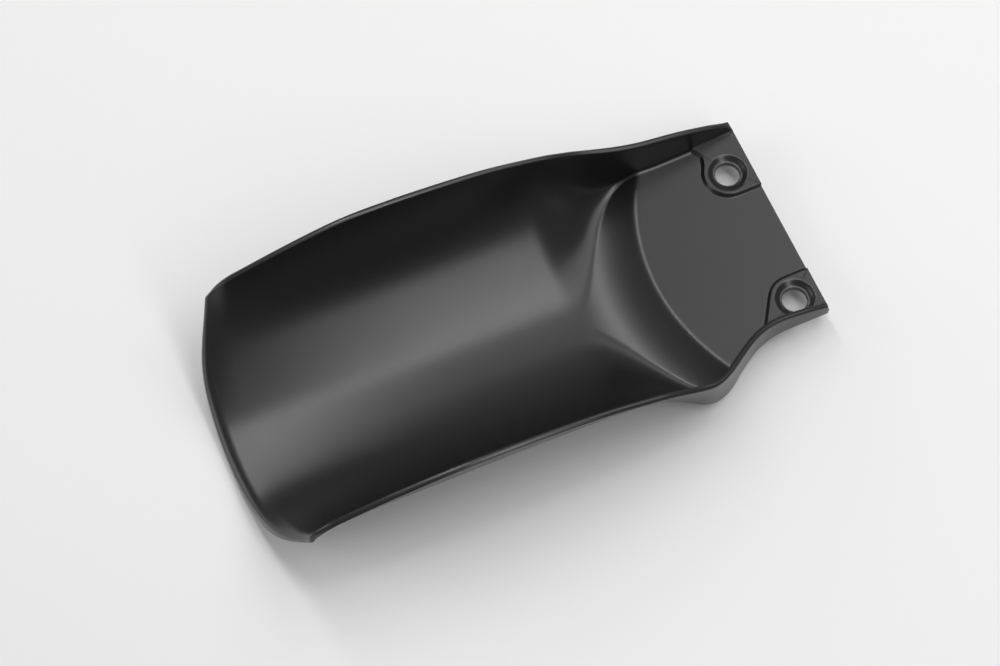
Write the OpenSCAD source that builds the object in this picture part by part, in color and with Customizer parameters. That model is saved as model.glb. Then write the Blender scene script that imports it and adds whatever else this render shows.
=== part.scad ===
// One-piece moulded mud flap that is bolted over a shock absorber.
// A flat mount plate with raised side walls steps down into a deep trough.
// The trough ends in a slanted tip whose edge is rolled down into a lip.
// Origin: midpoint between the two bolt holes, on the mounting face under the plate.
// X runs along the flap with the tip at negative X, Y across it, Z up.

/* [Sheet] */
// wall thickness of the moulded sheet
wall = 2.4; // [1.8:0.1:3.2]
// rounding left on the top edge of the side walls
rim_round = 0.9; // [0.3:0.1:1.1]

/* [Mount plate] */
// distance from the hole line to the mount end
end_x = 10.4; // [9:0.2:16]
// distance from the hole midpoint to the outside of the left wall
left_edge = 49.5; // [46:0.5:54]
// distance from the hole midpoint to the outside of the right wall
right_edge = 40.5; // [39:0.5:50]
// radius of the fillet between plate and side walls
plate_fillet = 1.5; // [1:0.5:3]
// radius of the lower outside edge of the plate
edge_r = 1; // [0.6:0.2:2]
// angle of the plate's left side wall from horizontal
left_angle = 85; // [82:1:90]
// angle of the plate's right side wall from horizontal
right_angle = 90; // [82:1:90]
// how far the ends of the side walls lean back for each unit of height
end_rake = 0.25; // [0:0.05:0.4]

/* [Holes] */
// distance between the two bolt holes
hole_pitch = 61; // [50:1:62]
// diameter of the bolt holes
hole_d = 10.2; // [6:0.2:11]
// diameter of the dished seat round each hole
seat_d = 15.4; // [13:0.2:17]
// depth of the dished seat
seat_depth = 1.8; // [1:0.2:2.4]
// height of the pads above the plate
pad_rise = 1.5; // [0.8:0.1:2.5]
// distance from a hole centre to the edge of its pad
pad_r = 10; // [9:0.2:12]
// distance from the hole line to the straight side of the left pad
left_pad_x = 7.8; // [6:0.2:9]
// radius with which the left pad runs into its wall
left_flare_r = 7; // [2:0.5:9]
// distance from the hole line to where the right pad meets its wall
right_pad_x = 17.5; // [12:0.5:20]

/* [Trough] */
// distance from the hole line to the end of the tip
tip_x = 229.5; // [200:1:260]
// sideways place of the trough's centre line
axis_y = -2.8; // [-5:0.2:0]
// outside half width of the trough at its widest
trough_half = 56.8; // [54:0.2:60]
// outside half width of the trough at the tip
tip_half = 55.2; // [53:0.2:57]
// depth of the trough floor below the plate, which is the height the flap stands on
floor_drop = 7.1; // [5:0.1:10]

/* [Side wall tops] */
// height of the side walls at the mount end
rim_end = 8.9; // [7:0.1:13]
// height of the side walls where the plate begins to widen
rim_neck = 18.4; // [14:0.2:20]
// height of the side walls at the shoulder
rim_shoulder = 24.9; // [21:0.1:27]
// greatest height of the side walls
rim_peak = 46.4; // [40:0.2:49]
// height of the side walls at the tip
rim_tip = 35.9; // [29:0.1:39]
// how much lower the right wall is than the left one beside the plate
right_dip = 4.4; // [0:0.2:6]
// distance from the hole line to the highest place of the side walls
peak_x = 156; // [140:1:170]

/* [Shoulder] */
// distance from the hole line to the start of the right shoulder
right_neck_x = 5; // [4:0.5:14]
// length of the right shoulder
right_neck_len = 47; // [34:1:50]
// distance from the hole line to the start of the left shoulder
left_neck_x = 20; // [12:1:24]
// length of the left shoulder
left_neck_len = 42; // [34:1:50]
// distance from the hole line to the tip side of the plate at its middle
step_x = 48; // [38:0.5:52]
// how much nearer the mount end the plate's tip side is at the walls
step_bow = 20; // [5:0.5:24]
// length of the slope from the plate down to the trough
step_len = 30; // [20:1:40]
// softness of the plate's tip side, as a share of that slope
step_soft = 0.26; // [0.1:0.02:0.4]

/* [Tip] */
// slant of the tip, run along X for each unit of height
tip_slant = 0.34; // [0.2:0.02:0.5]
// radius of the corners of the tip
corner_r = 9; // [6:0.5:12]
// radius of the rolled edge of the tip
lip_r = 4.6; // [3:0.2:6]
// how far the lip reaches below the sheet
lip_drop = 4.2; // [2:0.2:5]
// thickness of the lip
lip_wall = 2.2; // [1.6:0.1:2.8]

/* [Hidden] */
$fn = 96;
colour = [0.17, 0.17, 0.18];

// steps across the flat floor, the rounded flank and the straight wall
n_flat = 5;
n_arc = 12;
n_wall = 3;
n_half = n_flat + n_arc + n_wall;
// places of the highest wall top and of the points that shape its curve
shoulder_x = -(right_neck_x + right_neck_len);
plate_z = wall;
floor_root = plate_z - floor_drop;
// the lip reaches as low as the trough below the plate, so the flap lies on both
floor_tip = floor_root + lip_drop;
// stretch over which the channel with upright walls turns into a round trough
round_start = right_neck_x + right_neck_len * 0.66;
round_len = 48;
// power that makes the shoulder start slowly and end quickly
neck_skew = 1.4;
pad_z = plate_z + pad_rise;
neck_x = -(right_neck_x + left_neck_x) / 2 - 5;
tip_row_x = lip_r - tip_x;
// share of the flank over which the lip fades out at the corners
lip_fade = 0.6;
// least size kept by a step that would otherwise vanish
least = 0.6;
// small overlap of bodies that are joined
join = 0.5;

function mix(a, b, k) = a + (b - a) * k;
function smooth(k) = k <= 0 ? 0 : k >= 1 ? 1 : k * k * (3 - 2 * k);
// 0 at a and 1 at b, with an even start and end
function ramp(x, a, b) = smooth((x - a) / (b - a));
function unit(v) = v / norm(v);
function clamp(i, lo, hi) = max(lo, min(hi, i));

// curve through points [x, z] with falling x, tangents from the neighbours
function slope(p, i) =
    let (a = p[max(i - 1, 0)], b = p[min(i + 1, len(p) - 1)])
    (b[1] - a[1]) / (b[0] - a[0]);
function hermite(k, d, z0, z1, m0, m1) =
    (2 * k * k * k - 3 * k * k + 1) * z0
    + (k * k * k - 2 * k * k + k) * d * m0
    + (3 * k * k - 2 * k * k * k) * z1
    + (k * k * k - k * k) * d * m1;
function curve(p, x, i = 0) =
    (x >= p[i + 1][0] || i == len(p) - 2)
    ? let (d = p[i + 1][0] - p[i][0])
        hermite((x - p[i][0]) / d, d, p[i][1], p[i + 1][1], slope(p, i), slope(p, i + 1))
    : curve(p, x, i + 1);

// side view of the wall tops, from the mount end to the tip
rim_curve = [
    [end_x, rim_end],
    [neck_x, rim_neck],
    [shoulder_x, rim_shoulder],
    [mix(shoulder_x, -peak_x, 0.2), mix(rim_shoulder, rim_peak, 0.41)],
    [mix(shoulder_x, -peak_x, 0.5), mix(rim_shoulder, rim_peak, 0.79)],
    [-peak_x, rim_peak],
    [mix(-peak_x, -tip_x, 0.5), mix(rim_peak, rim_tip, 0.3)],
    [-tip_x, rim_tip]
];
// the wall tops turn down round the corners of the tip
function corner_drop(x) =
    let (d = corner_r + tip_row_x - x, r = corner_r * 1.15)
    d <= 0 ? 0 : r - sqrt(max(r * r - d * d, 0));
// the right wall dips beside the plate, most where the plate begins to widen
function dip(x, side) =
    side > 0 ? 0 : right_dip * ramp(x, shoulder_x, neck_x) * mix(1, 0.4, ramp(x, neck_x, end_x));
function rim_z(x, side) = curve(rim_curve, x) - rim_round - corner_drop(x) * 0.8 - dip(x, side);

// inside half width of the flap at x, on the left (1) or right (-1) of the centre line
function trough_w(x) = mix(trough_half, tip_half, ramp(x, -peak_x, -tip_x)) - wall;
function mount_w(side) = (side > 0 ? left_edge - axis_y : right_edge + axis_y) - wall;
function neck(x, side) =
    let (
        start = side > 0 ? left_neck_x : right_neck_x,
        run = side > 0 ? left_neck_len : right_neck_len
    )
    smooth(pow(clamp((-x - start) / run, 0, 1), neck_skew));
function half_w(x, side) = mix(mount_w(side), trough_w(x), neck(x, side));

// height of the trough floor, and of the plate above it: the plate's tip side is
// softly rounded and then slopes down ever more gently
function floor_z(x) = mix(floor_root, floor_tip, ramp(x, -step_x, -tip_x));
function step_edge(y) = -step_x + step_bow * pow((y - axis_y) / trough_half, 2);
function soft_one(b) =
    min(b, 1) - pow(max(step_soft - abs(b - 1), 0), 2) / (4 * step_soft);
function lift(x, y) =
    (plate_z - floor_z(x)) * soft_one(pow(max(1 + (x - step_edge(y)) / step_len, 0), 2));

// how far the section at x has gone from a channel (0) to a round trough (1)
function roundness(x) = ramp(x, -round_start, -round_start - round_len);

// reach and rise of point i on a half section with width w and height h:
// a flat floor, a flank of radius r up to the angle a, then a straight wall;
// the last two values push the lower face out to a crisp corner under the flank
function section(w, h, angle, k, i) =
    let (
        a_full = 2 * atan(h / w),
        a = mix(angle, a_full, k),
        r_max = min((w - h / tan(a)) / tan(a / 2), h / (1 - cos(a))),
        r = mix(min(plate_fillet, r_max * 0.9), r_max * 0.985, k),
        wall_len = max((h - r * (1 - cos(a))) / sin(a), 0),
        flat = w - r * sin(a) - wall_len * cos(a),
        crisp = (1 - k) * (plate_fillet + wall - edge_r)
    )
    i < n_flat
    ? [flat * i / n_flat, 0, 0, 0]
    : i <= n_flat + n_arc
    ? let (b = a * (i - n_flat) / n_arc)
        [flat + r * sin(b), r * (1 - cos(b)), crisp * (tan(a / 2) - sin(b)), crisp * (cos(b) - 1)]
    : let (s = wall_len * (i - n_flat - n_arc) / n_wall)
        [flat + r * sin(a) + s * cos(a), r * (1 - cos(a)) + s * sin(a), 0, 0];

// point of the upper face at station x, i from -n_half (right) to n_half (left),
// and the push of the lower face there
function face_point(x, i) =
    let (
        side = i < 0 ? -1 : 1,
        w = half_w(x, side),
        lift_w = lift(x, axis_y + side * w),
        h = rim_z(x, side) - floor_z(x) - lift_w,
        s = section(w, h, side > 0 ? left_angle : right_angle, roundness(x), abs(i)),
        y = axis_y + side * s[0],
        up = lift(x, y),
        z = floor_z(x) + up + s[1] * (1 + (lift_w - up) / h),
        shear = tip_slant * ramp(x, -tip_x * 0.45, -tip_x) * (z - floor_z(x)),
        rake = end_rake * ramp(x, 0, end_x) * max(z - plate_z, 0)
    )
    [[x + shear - rake, y, z], [0, side * s[2], s[3]]];

// stations from the mount end to the tip, closer together at the shoulder and the tip
stations = concat(
    [for (k = [0 : 4]) mix(end_x, -right_neck_x, k / 5)],
    [for (k = [0 : 17]) mix(-right_neck_x, -right_neck_x - 58, k / 18)],
    [for (k = [0 : 10]) mix(-right_neck_x - 58, tip_row_x + corner_r, k / 11)],
    [for (k = [0 : 4]) tip_row_x + corner_r * (1 - sin(90 * k / 4)) * 0.98]
);
n_rows = len(stations);
n_cols = 2 * n_half + 1;
grid = [for (x = stations) [for (i = [-n_half : n_half]) face_point(x, i)]];
upper = [for (row = grid) [for (cell = row) cell[0]]];
push = [for (row = grid) [for (cell = row) cell[1]]];

// outward normal, tangent along the flap and tangent across it at a grid point
function along(j, i) =
    unit(upper[min(j + 1, n_rows - 1)][i] - upper[max(j - 1, 0)][i]);
function across(j, i) =
    unit(upper[j][min(i + 1, n_cols - 1)] - upper[j][max(i - 1, 0)]);
function outward(j, i) =
    let (n = cross(along(j, i), across(j, i)))
    unit(j == 0 ? [0, n[1], n[2]] : n);

// size of the lip along the tip, fading out towards the corners
function lip_share(i) = smooth((n_flat + n_arc - abs(i - n_half)) / (n_arc * lip_fade));
function lip_point(i, m) =
    let (
        j = n_rows - 1,
        k = lip_share(i),
        p = upper[j][i],
        a = across(j, i),
        t = unit(mix(along(j, i), [-1, 0, 0], k)),
        n = unit(mix(outward(j, i), unit([0, a[2], -a[1]]), k)),
        r = mix(lip_r * 0.7, lip_r, k),
        deep = wall + mix(least / 2, lip_drop, k),
        inner = r - min(lip_wall, r * 0.8)
    )
    m < 3
    ? p + t * r * sin(30 * (m + 1)) + n * r * (1 - cos(30 * (m + 1))) * min(1, wall / r)
    : m == 3
    ? p + t * r + n * deep
    : m == 4
    ? p + t * inner + n * deep
    : p + t * inner + n * (wall + least / 3);
n_lip = 6;

// closed outline of the sheet along column i: upper face, lip, lower face
function column(i) = concat(
    [for (j = [0 : n_rows - 1]) upper[j][i]],
    [for (m = [0 : n_lip - 1]) lip_point(i, m)],
    [for (j = [n_rows - 1 : -1 : 0]) upper[j][i] + outward(j, i) * wall + push[j][i]]
);
n_loop = 2 * n_rows + n_lip;
// the same outline drawn in and raised, which rounds the wall tops
function rim_column(i, dir) =
    let (loop = column(i))
    [for (m = [0 : n_loop - 1])
        let (
            j = clamp(m < n_rows ? m : n_loop - 1 - m, 0, n_rows - 1),
            mid = upper[j][i] + outward(j, i) * wall / 2,
            top = m == 0 || m == n_loop - 1 ? across(0, i) : across(j, i)
        )
        mix(loop[m], mid, 0.45) + top * dir * rim_round];

loops = concat(
    [rim_column(0, -1)],
    [for (i = [0 : n_cols - 1]) column(i)],
    [rim_column(n_cols - 1, 1)]
);
n_loops = len(loops);
shell_points = [for (loop = loops) for (p = loop) p];
function at(c, m) = c * n_loop + m % n_loop;
function quad(a, b, c, d) = [[a, b, c], [a, c, d]];
skin_faces = [for (c = [0 : n_loops - 2]) for (m = [0 : n_loop - 1])
    for (f = quad(at(c, m), at(c, m + 1), at(c + 1, m + 1), at(c + 1, m))) f];
// strips that close the wall tops between the upper and the lower face
right_cap = [for (m = [0 : n_loop / 2 - 2])
    for (f = quad(at(0, m), at(0, n_loop - 1 - m), at(0, n_loop - 2 - m), at(0, m + 1))) f];
left_cap = [for (m = [0 : n_loop / 2 - 2])
    for (f = quad(at(n_loops - 1, m), at(n_loops - 1, m + 1),
        at(n_loops - 1, n_loop - 2 - m), at(n_loops - 1, n_loop - 1 - m))) f];

// the sheet itself: plate, side walls, shoulder, trough and lip
module sheet() {
    polyhedron(points = shell_points, faces = concat(skin_faces, right_cap, left_cap), convexity = 8);
}

// outline of the pad round a hole, reaching to the mount end and to the side wall
module pad_outline(side) {
    edge = side > 0 ? left_edge : right_edge;
    reach = edge - wall / 2 - hole_pitch / 2;
    back = side > 0 ? left_pad_x : 0;
    intersection() {
        union() {
            circle(r = pad_r);
            translate([0, -pad_r]) square([end_x, 2 * pad_r]);
            translate([-back, side > 0 ? 0 : -reach]) square([back + end_x, reach]);
            if (side > 0) difference() {
                translate([-back - left_flare_r, reach - left_flare_r])
                    square([left_flare_r + join, left_flare_r]);
                translate([-back - left_flare_r, reach - left_flare_r]) circle(r = left_flare_r);
            }
            if (side < 0) hull() {
                circle(r = pad_r);
                translate([-right_pad_x, -reach]) square([right_pad_x, join]);
            }
        }
        translate([-edge, -edge]) square([edge + end_x - join / 5, 2 * edge]);
    }
}

// raised pad on the plate
module pad(side) {
    translate([0, side * hole_pitch / 2, plate_z - join])
        linear_extrude(height = pad_rise + join) pad_outline(side);
}

// bore through pad and plate with the dished seat on top
module bolt_hole(side) {
    translate([0, side * hole_pitch / 2, -join]) cylinder(d = hole_d, h = pad_z + 2 * join);
    translate([0, side * hole_pitch / 2, pad_z - seat_depth])
        cylinder(d1 = hole_d, d2 = seat_d, h = seat_depth);
}

// the whole flap in one piece
module mud_flap() {
    color(colour) difference() {
        union() {
            sheet();
            pad(1);
            pad(-1);
        }
        bolt_hole(1);
        bolt_hole(-1);
    }
}

mud_flap();
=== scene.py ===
import math
import bmesh
import bpy
import numpy as np
from mathutils import Matrix, Vector


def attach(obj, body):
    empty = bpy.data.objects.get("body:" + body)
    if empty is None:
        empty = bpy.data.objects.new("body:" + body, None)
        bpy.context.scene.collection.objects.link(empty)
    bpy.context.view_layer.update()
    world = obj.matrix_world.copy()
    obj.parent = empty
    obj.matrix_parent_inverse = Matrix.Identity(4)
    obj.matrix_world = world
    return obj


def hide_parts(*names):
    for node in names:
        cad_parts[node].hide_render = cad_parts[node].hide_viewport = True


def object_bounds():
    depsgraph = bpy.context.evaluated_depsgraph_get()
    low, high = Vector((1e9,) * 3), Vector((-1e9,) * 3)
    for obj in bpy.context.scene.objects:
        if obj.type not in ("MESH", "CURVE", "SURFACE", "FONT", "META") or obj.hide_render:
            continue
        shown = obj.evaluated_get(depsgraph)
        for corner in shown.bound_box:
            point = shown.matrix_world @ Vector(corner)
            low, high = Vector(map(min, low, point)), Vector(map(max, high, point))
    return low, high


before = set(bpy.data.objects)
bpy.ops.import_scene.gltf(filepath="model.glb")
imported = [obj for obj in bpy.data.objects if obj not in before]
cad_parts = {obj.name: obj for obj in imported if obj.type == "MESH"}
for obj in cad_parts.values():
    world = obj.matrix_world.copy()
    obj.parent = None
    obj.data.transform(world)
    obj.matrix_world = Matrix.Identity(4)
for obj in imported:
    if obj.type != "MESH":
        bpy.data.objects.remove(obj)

cad_low, cad_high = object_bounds()

# Sizes of the flap in millimetres. The frame's own box gives the driving ones.
MM = 0.001
BOX_LOW = np.array(cad_low) / MM
BOX_HIGH = np.array(cad_high) / MM
END_X = BOX_HIGH[0]
TIP_X = -BOX_LOW[0]

# Sheet and mount plate
WALL = 2.4
LEFT_EDGE = 49.5
RIGHT_EDGE = 40.5
PLATE_Z = WALL
PLATE_FILLET = 1.5
EDGE_R = 0.8
LEFT_ANGLE = 85
RIGHT_ANGLE = 90
END_RAKE = 0.25
END_ROUND = 0.35
END_FULLNESS = 0.4
END_EVENNESS = 0.6

# Holes, seats and pads. A pad spreads by its foot and draws in by its round.
HOLE_PITCH = 61
HOLE_R = 5.1
HOLE_MARGIN = 0.8
BORE_EDGE = 0.3
BORE_LAP = 1.4
BORE_SINK = 0.05
DISH_R = 8.6
DISH_DEPTH = 1.53
PAD_RISE = 1.5
PAD_R = 10
PAD_FOOT = 0.9
PAD_ROUND = 0.7
PAD_FILLET = 1.4
PAD_SINK = 0.4
PAD_INSET = 0.1
PAD_SQUARE = 3
LEFT_PAD_X = 7.8
LEFT_FLARE_R = 7
FLARE_LEAN = 0.58
RIGHT_PAD_X = 17.5

# Trough
AXIS_Y = -2.8
TROUGH_HALF = 56.8
TIP_HALF = 55.2
PEAK_X = 156
FLOOR_ROOT = WALL + BOX_LOW[2]

# Narrowing from the trough to the mount plate, and the turn from flat to round
RIGHT_NECK_X = 5
RIGHT_NECK_LEN = 47
LEFT_NECK_X = 20
LEFT_NECK_LEN = 42
NECK_SKEW = 1.4
NECK_LEAD = 5
NECK_X = -(RIGHT_NECK_X + LEFT_NECK_X) / 2 - NECK_LEAD
SHOULDER_X = -(RIGHT_NECK_X + RIGHT_NECK_LEN)
SHOULDER_TURN_LEN = 62
ROUND_SHARE = 0.66
ROUND_START = RIGHT_NECK_X + RIGHT_NECK_LEN * ROUND_SHARE
ROUND_LEN = 48
FILLET_SHARE = 0.9
FLANK_SHARE = 0.985

# Step down from the plate, with a crisp bowed edge and a soft foot
STEP_X = 48
STEP_BOW = 20
STEP_LEN = 30
STEP_SOFT = 0.08
FOOT_SOFT = 0.3

# Wall tops. The shares place three more points between shoulder, peak and tip.
RIM_ROUND = 0.9
RIM_FULLNESS = 0.6
RIM_END = 8.9
RIM_NECK = 18.4
RIM_SHOULDER = 24.9
PEAK_LIFT = 0.1
RIM_PEAK = BOX_HIGH[2] + PEAK_LIFT
RIM_TIP = 35.9
RIM_RISE = ((0.2, 0.41), (0.5, 0.79))
RIM_FALL = (0.5, 0.3)
RIGHT_DIP = 4.4
RIGHT_DIP_AT_END = 0.4

# Tip, its corners and the rolled lip, which is smaller beside the walls
TIP_SLANT = 0.34
SLANT_START = 0.45
CORNER_R = 9
CORNER_SPREAD = 1.15
CORNER_FALL = 0.8
LIP_R = 4.6
LIP_R_AT_WALL = LIP_R * 0.7
LIP_DROP = 4.2
LIP_DROP_AT_WALL = 0.3
LIP_WALL = 2.2
LIP_FOOT_ROUND = 0.6
LIP_FADE = 0.6
LIP_CLEAR = 0.1
LIP_SEAT = 0.15
FLOOR_TIP = FLOOR_ROOT + LIP_DROP
TIP_ROW_X = LIP_R - TIP_X

# Columns of the fine grid on each half: along the floor, round the flank, up the wall
N_FLAT = 46
N_ARC = 18
N_WALL = 8
N_HALF = N_FLAT + N_ARC + N_WALL

# Rows of the grid along the plate, the shoulder and the trough, and round the corner
N_PLATE_ROWS = 20
N_SHOULDER_ROWS = 60
N_TROUGH_ROWS = 60
N_CORNER_ROWS = 14

# Steps round the lip's roll and foot, the mount end and the wall tops
N_ROLL = 9
N_FOOT = 10
N_END = 8
N_TOP = 6

# Steps round the pads' outlines, down their sides and seats, and round the bores' edges
OUTLINE_STEP = 0.4
EASE_ROUNDS = 12
N_LEFT_ARC = 40
N_RIGHT_ARC = 30
N_FLARE = 15
N_PAD_SIDE = 14
N_DISH = 16
N_BORE_EDGE = 5

# Rings on a pad's flat top, as shares of the way from its brim to the dish
TOP_RINGS = (0.04, 0.2, 0.4, 0.6, 0.8)

# An edge sharper than this, in degrees, shades as an edge
SHARP_ANGLE = 38


def mix(a, b, k):
    return a + (b - a) * k


def smooth(k):
    k = np.clip(k, 0.0, 1.0)
    return k * k * (3 - 2 * k)


def ramp(x, a, b):
    """0 at a and 1 at b, with an even start and end."""
    return smooth((x - a) / (b - a))


def unit(v):
    return v / np.maximum(np.linalg.norm(v, axis=-1, keepdims=True), 1e-9)


def quarter_turn(steps):
    """Angles from 0 to 90 degrees."""
    return np.radians(np.linspace(0, 90, steps + 1))


def half_turn(steps):
    """Angles from 0 to 180 degrees."""
    return np.radians(np.linspace(0, 180, steps + 1))


def rim_points():
    """Side view of the wall tops, from the mount end to the tip."""
    points = [(END_X, RIM_END), (NECK_X, RIM_NECK), (SHOULDER_X, RIM_SHOULDER)]
    for way, height in RIM_RISE:
        points.append((mix(SHOULDER_X, -PEAK_X, way), mix(RIM_SHOULDER, RIM_PEAK, height)))
    points.append((-PEAK_X, RIM_PEAK))
    way, height = RIM_FALL
    points.append((mix(-PEAK_X, -TIP_X, way), mix(RIM_PEAK, RIM_TIP, height)))
    points.append((-TIP_X, RIM_TIP))
    return points


def curve(points, x):
    """Smooth curve through points whose x falls."""
    i = 0
    while i < len(points) - 2 and x < points[i + 1][0]:
        i += 1

    def slope(m):
        a = points[max(m - 1, 0)]
        b = points[min(m + 1, len(points) - 1)]
        return (b[1] - a[1]) / (b[0] - a[0])

    d = points[i + 1][0] - points[i][0]
    k = (x - points[i][0]) / d
    return (
        (2 * k**3 - 3 * k**2 + 1) * points[i][1]
        + (k**3 - 2 * k**2 + k) * d * slope(i)
        + (3 * k**2 - 2 * k**3) * points[i + 1][1]
        + (k**3 - k**2) * d * slope(i + 1)
    )


RIM = rim_points()


def rim_z(x, side):
    """Height at which a wall's straight face ends and its rounded top begins."""
    d = CORNER_R + TIP_ROW_X - x
    r = CORNER_R * CORNER_SPREAD
    drop = 0 if d <= 0 else r - math.sqrt(max(r * r - d * d, 0))
    dip = RIGHT_DIP * ramp(x, SHOULDER_X, NECK_X) * mix(1, RIGHT_DIP_AT_END, ramp(x, NECK_X, END_X))
    return curve(RIM, x) - RIM_ROUND - drop * CORNER_FALL - (dip if side < 0 else 0)


def half_width(x, side):
    """Distance from the trough's axis to the inside of a wall's top."""
    start, run = (LEFT_NECK_X, LEFT_NECK_LEN) if side > 0 else (RIGHT_NECK_X, RIGHT_NECK_LEN)
    mount = LEFT_EDGE - AXIS_Y if side > 0 else RIGHT_EDGE + AXIS_Y
    trough = mix(TROUGH_HALF, TIP_HALF, ramp(x, -PEAK_X, -TIP_X))
    k = smooth(np.clip((-x - start) / run, 0, 1) ** NECK_SKEW)
    return mix(mount, trough, k) - WALL


def floor_z(x):
    return mix(FLOOR_ROOT, FLOOR_TIP, ramp(x, -STEP_X, -TIP_X))


def lift(x, y):
    """Height of the step and the mount plate above the trough floor."""
    edge = -STEP_X + STEP_BOW * ((y - AXIS_Y) / TROUGH_HALF) ** 2
    along = 1 + (x - edge) / STEP_LEN
    slope = ((along + np.sqrt(along**2 + FOOT_SOFT**2)) / (1 + math.hypot(1, FOOT_SOFT))) ** 2
    soft = np.maximum(STEP_SOFT - np.abs(slope - 1), 0) ** 2 / (4 * STEP_SOFT)
    return (PLATE_Z - floor_z(x)) * (np.minimum(slope, 1) - soft)


def half_section(x, side):
    """Points of the inside face from the centre line out, and the push of the outside face."""
    w = half_width(x, side)
    lift_w = lift(x, AXIS_Y + side * w)
    h = rim_z(x, side) - floor_z(x) - lift_w
    k = ramp(x, -ROUND_START, -ROUND_START - ROUND_LEN)
    full = 2 * math.atan(h / w)
    a = mix(math.radians(LEFT_ANGLE if side > 0 else RIGHT_ANGLE), full, k)

    # the flank's radius grows from a fillet to nearly the largest that fits
    r_max = min((w - h / math.tan(a)) / math.tan(a / 2), h / (1 - math.cos(a)))
    r = mix(min(PLATE_FILLET, r_max * FILLET_SHARE), r_max * FLANK_SHARE, k)
    wall_len = max((h - r * (1 - math.cos(a))) / math.sin(a), 0)
    flat = w - r * math.sin(a) - wall_len * math.cos(a)
    crisp = (1 - k) * (PLATE_FILLET + WALL - EDGE_R)

    f = np.arange(N_FLAT) / N_FLAT
    b = a * np.arange(N_ARC + 1) / N_ARC
    s = wall_len * np.arange(1, N_WALL + 1) / N_WALL
    reach = np.concatenate([flat * f, flat + r * np.sin(b), flat + r * math.sin(a) + s * math.cos(a)])
    rise = np.concatenate([0 * f, r * (1 - np.cos(b)), r * (1 - math.cos(a)) + s * math.sin(a)])
    push_y = np.concatenate([0 * f, crisp * (math.tan(a / 2) - np.sin(b)), 0 * s])
    push_z = np.concatenate([0 * f, crisp * (np.cos(b) - 1), 0 * s])

    y = AXIS_Y + side * reach
    up = lift(x, y)
    z = floor_z(x) + up + rise * (1 + (lift_w - up) / h)
    shear = TIP_SLANT * ramp(x, -TIP_X * SLANT_START, -TIP_X) * (z - floor_z(x))
    rake = END_RAKE * ramp(x, 0, END_X) * np.maximum(z - PLATE_Z, 0)
    face = np.stack([x + shear - rake, y, z], -1)
    push = np.stack([0 * y, side * push_y, push_z], -1)
    return face, push


def stations():
    """Places along X where the section is taken, closer where the form turns."""
    shoulder_end = -RIGHT_NECK_X - SHOULDER_TURN_LEN
    corner = TIP_ROW_X + CORNER_R
    return np.concatenate([
        np.linspace(END_X - END_ROUND, -RIGHT_NECK_X, N_PLATE_ROWS + 1)[:-1],
        np.linspace(-RIGHT_NECK_X, shoulder_end, N_SHOULDER_ROWS + 1)[:-1],
        np.linspace(shoulder_end, corner, N_TROUGH_ROWS + 1)[:-1],
        TIP_ROW_X + CORNER_R * (1 - np.sin(quarter_turn(N_CORNER_ROWS))),
    ])


def inside_face():
    """Grid of points on the inside of the sheet, and the push of the outside at each."""
    rows = []
    pushes = []
    for x in stations():
        right, right_push = half_section(x, -1)
        left, left_push = half_section(x, 1)
        rows.append(np.concatenate([right[:0:-1], left]))
        pushes.append(np.concatenate([right_push[:0:-1], left_push]))
    return np.array(rows), np.array(pushes)


def directions(face):
    """Unit directions along, across and out of the sheet at each point of its inside face."""
    along = np.empty_like(face)
    along[1:-1] = face[2:] - face[:-2]
    along[0] = face[1] - face[0]
    along[-1] = face[-1] - face[-2]
    across = np.empty_like(face)
    across[:, 1:-1] = face[:, 2:] - face[:, :-2]
    across[:, 0] = face[:, 1] - face[:, 0]
    across[:, -1] = face[:, -1] - face[:, -2]
    along = unit(along)
    across = unit(across)
    outward = unit(np.cross(along, across))
    outward[0, :, 0] = 0
    return along, across, unit(outward)


def lip_rows(last, along, across, outward):
    """Rows past the tip: a rolled edge, a short skirt with a rounded foot, its inside face."""
    col = np.abs(np.arange(len(last)) - N_HALF)
    share = smooth((N_FLAT + N_ARC - col) / (N_ARC * LIP_FADE))[:, None]
    inward = unit(np.stack([0 * across[:, 0], across[:, 2], -across[:, 1]], -1))
    t = unit(mix(along, np.array([-1.0, 0, 0]), share))
    n = unit(mix(outward, inward, share))
    r = mix(LIP_R_AT_WALL, LIP_R, share)
    deep = WALL + mix(LIP_DROP_AT_WALL, LIP_DROP, share)
    roll = np.minimum(1, WALL / r)
    rows = []
    for b in quarter_turn(N_ROLL)[1:]:
        rows.append(last + t * r * math.sin(b) + n * r * (1 - math.cos(b)) * roll)
    foot = LIP_WALL / 2
    for b in half_turn(N_FOOT):
        side = r - foot + foot * math.cos(b)
        down = deep - foot * LIP_FOOT_ROUND + foot * LIP_FOOT_ROUND * math.sin(b)
        rows.append(last + t * side + n * np.maximum(down, WALL + LIP_CLEAR * math.sin(b)))
    rows.append(last + t * (r - LIP_WALL) + n * (WALL + LIP_SEAT))
    return np.array(rows)


def end_rows(lower, upper):
    """Rows over the mount end: a flat face with slightly rounded edges."""
    rows = []
    for b in half_turn(N_END)[1:-1]:
        k = (1 - math.cos(b)) / 2
        out = END_ROUND * math.sin(b) ** END_FULLNESS
        edge = mix(lower, upper, mix(k, smooth(k), END_EVENNESS))
        rows.append(edge + np.array([out, 0, 0]))
    return np.array(rows)


def sheet_loops():
    """Closed outlines of the sheet, one for each column: inside face, lip, outside face, end."""
    upper, push = inside_face()
    along, across, outward = directions(upper)
    lower = upper + outward * WALL + push
    middle = upper + outward * WALL / 2
    lip = lip_rows(upper[-1], along[-1], across[-1], outward[-1])
    end = end_rows(lower[0], upper[0])
    loops = np.concatenate([upper, lip, lower[::-1], end])
    row_of = np.concatenate([
        np.arange(len(upper)),
        np.full(len(lip), len(upper) - 1),
        np.arange(len(upper))[::-1],
        np.zeros(len(end), int),
    ])
    return loops.transpose(1, 0, 2), middle[row_of].transpose(1, 0, 2), across[row_of].transpose(1, 0, 2)


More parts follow.
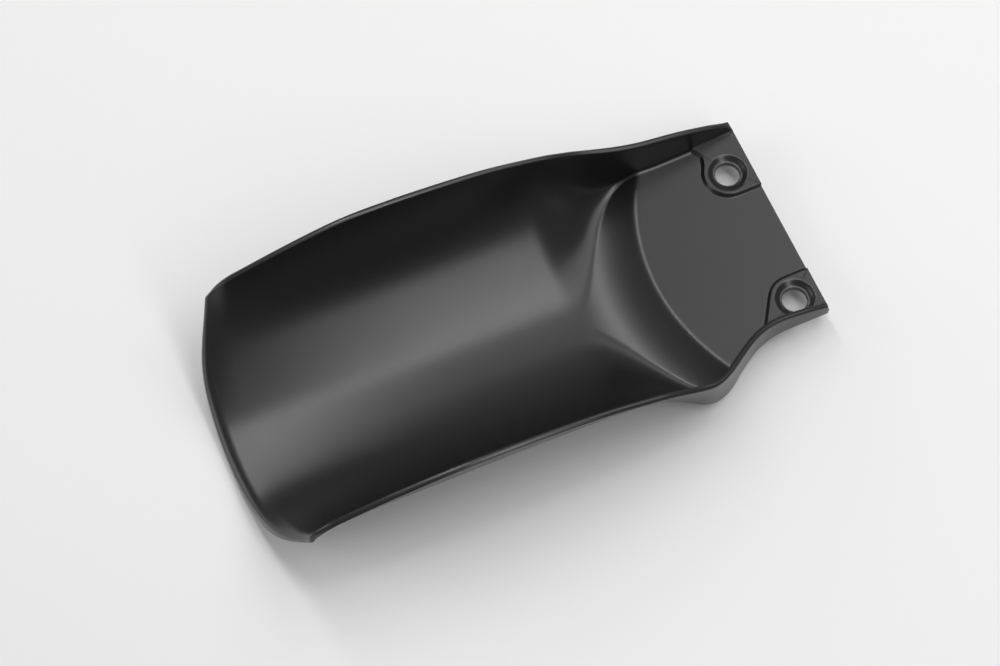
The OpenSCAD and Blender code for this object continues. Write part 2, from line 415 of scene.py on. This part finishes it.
def with_rounded_tops(loops, middle, across):
    """The outlines with more of them added at both sides, which round the wall tops."""
    left = []
    right = []
    for b in quarter_turn(N_TOP)[1:]:
        k = math.sin(b) ** 2
        rise = RIM_ROUND * math.sin(b) ** RIM_FULLNESS
        right.append(mix(loops[0], middle[0], k) - across[0] * rise)
        left.append(mix(loops[-1], middle[-1], k) + across[-1] * rise)
    return np.concatenate([np.array(right[::-1]), loops, np.array(left)])


def mesh_object(name, points, faces, material):
    """A smooth-shaded object made from points in millimetres, with its sharp edges kept."""
    mesh = bpy.data.meshes.new(name)
    mesh.from_pydata((np.asarray(points) * MM).tolist(), [], faces)
    mesh.validate()
    mesh.update()
    obj = bpy.data.objects.new(name, mesh)
    bpy.context.scene.collection.objects.link(obj)
    mesh.materials.append(material)
    for face in mesh.polygons:
        face.use_smooth = True
    mesh.set_sharp_from_angle(angle=math.radians(SHARP_ANGLE))
    return obj


def turn_outward(obj):
    """Makes every face of the piece point outwards."""
    work = bmesh.new()
    work.from_mesh(obj.data)
    bmesh.ops.recalc_face_normals(work, faces=work.faces)
    work.to_mesh(obj.data)
    work.free()
    obj.data.update()


def hole_centre(side):
    return np.array([0, side * HOLE_PITCH / 2, 0])


def sheet(material):
    """The moulded sheet, open round the two holes, where the pads carry the bores."""
    loops = with_rounded_tops(*sheet_loops())
    n_cols, n_loop = loops.shape[:2]
    points = loops.reshape(-1, 3)
    clear = np.zeros(len(points), bool)
    for side in (-1, 1):
        away = np.hypot(*(points[:, :2] - hole_centre(side)[:2]).T)
        clear |= away < HOLE_R + HOLE_MARGIN
    faces = []
    for c in range(n_cols - 1):
        for m in range(n_loop):
            quad = (
                c * n_loop + m,
                c * n_loop + (m + 1) % n_loop,
                (c + 1) * n_loop + (m + 1) % n_loop,
                (c + 1) * n_loop + m,
            )
            if not any(clear[q] for q in quad):
                faces.append(quad)
    return mesh_object("sheet", points, faces, material)


def even_steps(points, step):
    """The same closed outline with points at even steps."""
    closed = np.vstack([points, points[:1]])
    length = np.concatenate([[0], np.cumsum(np.linalg.norm(np.diff(closed, axis=0), axis=1))])
    at = np.linspace(0, length[-1], int(length[-1] / step))[:-1]
    return np.stack([np.interp(at, length, closed[:, k]) for k in (0, 1)], -1)


def pad_arc(turn, count):
    """Points on the round part of a pad, from its side towards the plate's middle."""
    return [(-PAD_R * math.sin(b), -PAD_R * math.cos(b)) for b in np.linspace(0, turn, count)]


def left_back(reach):
    """Back edge of the left pad: a flare that leaves the round part and meets the wall."""
    line = pad_arc(math.pi / 2 + math.acos(LEFT_PAD_X / PAD_R), N_LEFT_ARC)

    # a slant from the hole cuts off the flare's tip, so that the rings inside never fold
    for b in quarter_turn(N_FLARE):
        y = reach - LEFT_FLARE_R * (1 - math.sin(b))
        x = -LEFT_PAD_X - LEFT_FLARE_R * (1 - math.cos(b))
        line.append((max(x, -FLARE_LEAN * y), y))
    return line


def right_back(reach):
    """Back edge of the right pad: the tangent from the round part to its foot on the wall."""
    far = math.hypot(RIGHT_PAD_X, reach)
    turn = math.atan2(reach, -RIGHT_PAD_X) + math.acos(PAD_R / far)
    return pad_arc(3 * math.pi / 2 - turn, N_RIGHT_ARC) + [(-RIGHT_PAD_X, reach)]


def pad_outline(side):
    """Outline of a pad round its hole in plan, from the mount end round to its side wall."""
    edge = LEFT_EDGE if side > 0 else RIGHT_EDGE
    reach = edge - WALL / 2 - HOLE_PITCH / 2
    end = END_X - PAD_INSET
    back = left_back(reach) if side > 0 else right_back(reach)
    corners = [(end, -PAD_R), (0, -PAD_R), *back, (end, reach)]
    line = even_steps(np.array(corners), OUTLINE_STEP)

    # ease the corners, but leave the pad square near the mount end
    inner = line[:, 0] < end - PAD_SQUARE
    for _ in range(EASE_ROUNDS):
        eased = (np.roll(line, 1, 0) + 2 * line + np.roll(line, -1, 0)) / 4
        line[inner] = eased[inner]
    line[:, 1] *= side
    return line[::side]


def outline_normals(outline):
    """Directions that point out of the outline in plan, and nowhere along the mount end."""
    tangent = unit(np.roll(outline, -1, 0) - np.roll(outline, 1, 0))
    normal = np.stack([tangent[:, 1], -tangent[:, 0]], -1)
    x, y = outline.T
    normal *= np.sign(np.sum(x * np.roll(y, -1) - y * np.roll(x, -1)))
    normal[x > END_X - 2 * PAD_INSET] = 0
    return normal


def pad_profile():
    """Section of a pad's side as spread and height, from inside the plate to the top face."""
    steps = [(PAD_FOOT, -PAD_SINK)]
    for k in np.linspace(0, 1, N_PAD_SIDE):
        steps.append((mix(PAD_FOOT, -PAD_ROUND, k), PAD_RISE * smooth(k)))
    return steps


def bore_profile():
    """Section of seat and bore as radius and height, from the pad's top face to the underside."""
    top = PLATE_Z + PAD_RISE
    steps = []
    for k in np.linspace(0, 1, N_DISH):
        steps.append((mix(DISH_R, HOLE_R + BORE_EDGE, k), top - DISH_DEPTH * smooth(k)))
    edge = steps[-1][1]
    for b in quarter_turn(N_BORE_EDGE)[1:]:
        steps.append((HOLE_R + BORE_EDGE * (1 - math.sin(b)), edge - BORE_EDGE * (1 - math.cos(b))))
    for b in quarter_turn(N_BORE_EDGE):
        steps.append((HOLE_R + BORE_EDGE * (1 - math.cos(b)), BORE_EDGE * (1 - math.sin(b))))
    steps.append((HOLE_R + BORE_LAP, BORE_SINK))
    return steps


def wall_fillet(y, side):
    """Rise of a pad's top face near the side wall, at distance y from the hole towards it."""
    edge = LEFT_EDGE if side > 0 else RIGHT_EDGE
    gap = np.clip(edge - WALL - HOLE_PITCH / 2 - y, 0, PAD_FILLET)
    return PAD_FILLET - np.sqrt(PAD_FILLET**2 - (PAD_FILLET - gap) ** 2)


def pad(side, material):
    """Raised pad with a dished seat, and the short bore through pad and plate."""
    outline = pad_outline(side)
    normal = outline_normals(outline)
    n = len(outline)
    rings = []
    for spread, z in pad_profile():
        rings.append(np.column_stack([outline + normal * spread, np.full(n, PLATE_Z + z)]))

    # the flat top face, from its brim in to the dish
    brim = rings[-1][:, :2]
    turn = np.arctan2(brim[:, 1], brim[:, 0])
    circle = np.stack([np.cos(turn), np.sin(turn)], -1)
    for k in TOP_RINGS:
        rings.append(np.column_stack([mix(brim, circle * DISH_R, k), np.full(n, PLATE_Z + PAD_RISE)]))
    for radius, z in bore_profile():
        rings.append(np.column_stack([circle * radius, np.full(n, z)]))
    points = np.array(rings)
    level = np.clip((points[..., 2] - PLATE_Z) / PAD_RISE, 0, 1)
    rise = wall_fillet(points[..., 1] * side, side) * smooth(level * 2 - 1)
    points[..., 2] += rise
    points[..., 0] -= END_RAKE * ramp(points[..., 0], 0, END_X) * rise

    faces = []
    for k in range(len(rings) - 1):
        for m in range(n):
            after = (m + 1) % n
            faces.append((k * n + m, k * n + after, (k + 1) * n + after, (k + 1) * n + m))
    name = "pad_left" if side > 0 else "pad_right"
    obj = mesh_object(name, points.reshape(-1, 3) + hole_centre(side), faces, material)
    turn_outward(obj)
    return obj


def colour(hex_code):
    """Linear colour from an sRGB hex code."""
    parts = [int(hex_code[i:i + 2], 16) / 255 for i in (1, 3, 5)]
    linear = [c / 12.92 if c <= 0.04045 else ((c + 0.055) / 1.055) ** 2.4 for c in parts]
    return (*linear, 1.0)


def add(tree, kind, inputs=None, links=None, **settings):
    """Adds a node with its settings, its input values and its incoming links."""
    node = tree.nodes.new(kind)
    for key, value in settings.items():
        setattr(node, key, value)
    for key, value in (inputs or {}).items():
        node.inputs[key].default_value = value
    for key, socket in (links or {}).items():
        tree.links.new(socket, node.inputs[key])
    return node


def new_material(name):
    material = bpy.data.materials.new(name)
    material.use_nodes = True
    material.node_tree.nodes.clear()
    return material, material.node_tree


# Mould grain, a little coarser than real so that it shows, in millimetres
GRAIN_WIDTH = 0.7
GRAIN_DEPTH = 0.05
# Slow drift in the sheen, from uneven flow in the mould, in millimetres
DRIFT_WIDTH = 25


def moulded_polypropylene():
    """Injection-moulded black polypropylene: a deep black with a satin sheen and a fine grain."""
    material, tree = new_material("moulded_black_polypropylene")
    place = add(tree, "ShaderNodeTexCoord").outputs["Object"]
    grain = add(tree, "ShaderNodeTexNoise", {"Scale": 1 / (GRAIN_WIDTH * MM), "Detail": 3.0},
                {"Vector": place}).outputs["Fac"]
    drift = add(tree, "ShaderNodeTexNoise", {"Scale": 1 / (DRIFT_WIDTH * MM), "Detail": 2.0},
                {"Vector": place}).outputs["Fac"]
    rough = add(tree, "ShaderNodeMapRange", {"To Min": 0.28, "To Max": 0.32}, {"Value": drift})
    tone = add(tree, "ShaderNodeMix", {"A": colour("#151516"), "B": colour("#1a1a1b")},
               {"Factor": grain}, data_type="RGBA")
    bump = add(tree, "ShaderNodeBump", {"Strength": 0.12, "Distance": GRAIN_DEPTH * MM},
               {"Height": grain})
    # the IOR is a little above the plastic's own, to match the sheen of the moulded skin
    shader = add(tree, "ShaderNodeBsdfPrincipled", {"IOR": 1.6}, {
        "Base Color": tone.outputs["Result"],
        "Roughness": rough.outputs["Result"],
        "Normal": bump.outputs["Normal"],
    })
    add(tree, "ShaderNodeOutputMaterial", links={"Surface": shader.outputs["BSDF"]})
    return material


def pale_table():
    """Matt white paper: nearly white, so that the shadow reads softly."""
    material, tree = new_material("matt_white_paper")
    shader = add(tree, "ShaderNodeBsdfPrincipled", {"Base Color": colour("#f2f2f2"), "Roughness": 0.9})
    add(tree, "ShaderNodeOutputMaterial", links={"Surface": shader.outputs["BSDF"]})
    return material


def table():
    """The floor that the flap lies on, six metres square."""
    half = 3000
    z = BOX_LOW[2]
    corners = [(-half, -half, z), (half, -half, z), (half, half, z), (-half, half, z)]
    floor = mesh_object("table", np.array(corners), [(0, 1, 2, 3)], pale_table())


def softbox(name, place, turn, tilt, size, radiance):
    """A flat lamp in metres that faces down, tilted about Y and then turned about Z."""
    lamp = bpy.data.lights.new(name, "AREA")
    lamp.shape = "RECTANGLE"
    lamp.size, lamp.size_y = size
    lamp.energy = radiance * math.pi * size[0] * size[1]
    obj = bpy.data.objects.new(name, lamp)
    facing = Matrix.Rotation(math.radians(turn), 4, "Z") @ Matrix.Rotation(math.radians(tilt), 4, "Y")
    obj.matrix_world = Matrix.Translation(place) @ facing
    bpy.context.scene.collection.objects.link(obj)


def studio():
    """Two strips for the broad sheen in the trough, one panel for the plate and one for the lip."""
    height = 1.2
    softbox("strip_far", (-0.17, 1.00, height), 4, 0, (0.16, 2.0), 7.5)
    softbox("strip_near", (0.28, -0.95, height), 7, 0, (0.24, 2.2), 5.5)
    softbox("side_panel", (0.88, 0.3, height), 0, 0, (1.15, 1.4), 1.5)
    softbox("tip_panel", (-1.3, 0.5, 0.55), 0, -90, (0.9, 1.2), 1.8)
    world = bpy.data.worlds.new("studio_air")
    bpy.context.scene.world = world
    world.use_nodes = True
    air = world.node_tree.nodes["Background"]
    air.inputs["Color"].default_value = (1, 1, 1, 1)
    air.inputs["Strength"].default_value = 0.22


def camera():
    """The photograph's view: from the right and the tip side, looking steeply down."""
    place = Vector((-0.2779, -0.37285, 0.9115))
    right = Vector((0.9154, -0.4027, 0.0)).normalized()
    up = Vector((0.3671, 0.8341, 0.4117)).normalized()
    back = right.cross(up)
    data = bpy.data.cameras.new("camera")
    data.sensor_width = 36
    data.lens = 91.4
    obj = bpy.data.objects.new("camera", data)
    turn = Matrix((right, up, back)).transposed().to_4x4()
    obj.matrix_world = Matrix.Translation(place) @ turn
    bpy.context.scene.collection.objects.link(obj)
    bpy.context.scene.camera = obj


plastic = moulded_polypropylene()
body = sheet(plastic)
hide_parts("mud_flap")
for piece in [body, pad(1, plastic), pad(-1, plastic)]:
    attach(piece, "root")

table()
studio()
camera()
bpy.context.scene.view_settings.view_transform = "Standard"
